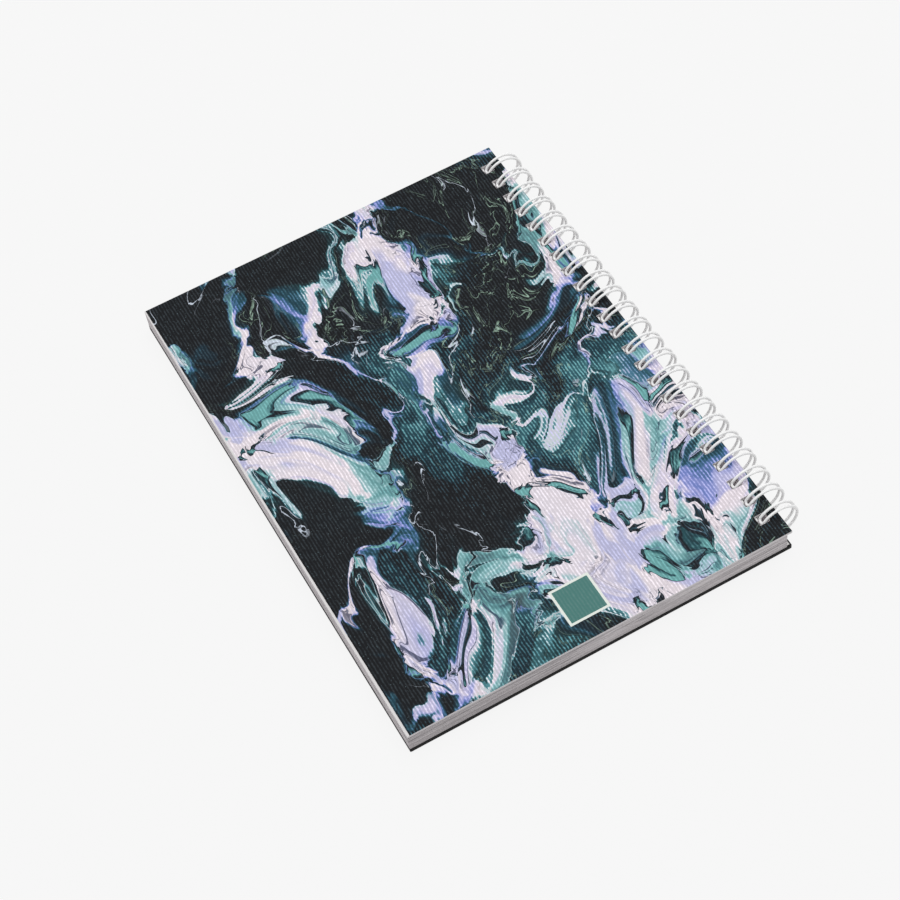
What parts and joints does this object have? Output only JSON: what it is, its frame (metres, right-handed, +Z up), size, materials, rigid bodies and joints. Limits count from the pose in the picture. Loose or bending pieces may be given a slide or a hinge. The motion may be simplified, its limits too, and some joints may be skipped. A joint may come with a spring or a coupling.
{
  "type": "spiral notebook",
  "caption": "Closed wire-bound notebook lying on its front cover: printed back cover, page block and plain front cover on a white twin-loop wire; both covers turn on the wire.",
  "frame": {"origin": "on the resting surface, under the middle of the bounding box", "axes": "+X from the fore-edge to the wire, +Y from the tail to the head, +Z up through the back cover; the covers lean 1.1 degrees up towards the wire, as the notebook lies at rest"},
  "size_m": [0.153, 0.205, 0.0156],
  "materials": {
    "printed_card": "matt printed card with a white core and a fine ribbed texture, dark teal, aqua and lilac marbling",
    "black_board": "matt black board, lined with white paper inside",
    "paper": "uncoated white writing paper",
    "white_wire": "white nylon-coated steel wire, satin"
  },
  "bodies": {
    "front": {"front_cover": "black_board"},
    "pages": {"page_block": "paper", "wire_binding": "white_wire"},
    "back": {"back_cover": "printed_card"}
  },
  "joints": [
    {"name": "front_cover_hinge", "type": "hinge", "parent": "front", "child": "pages", "pos_m": [0.06873, 0, 0.0078], "axis": [0, 1, 0], "range_deg": [0, 182]},
    {"name": "back_cover_hinge", "type": "hinge", "parent": "pages", "child": "back", "pos_m": [0.06873, 0, 0.0078], "axis": [0, 1, 0], "range_deg": [0, 182]}
  ]
}
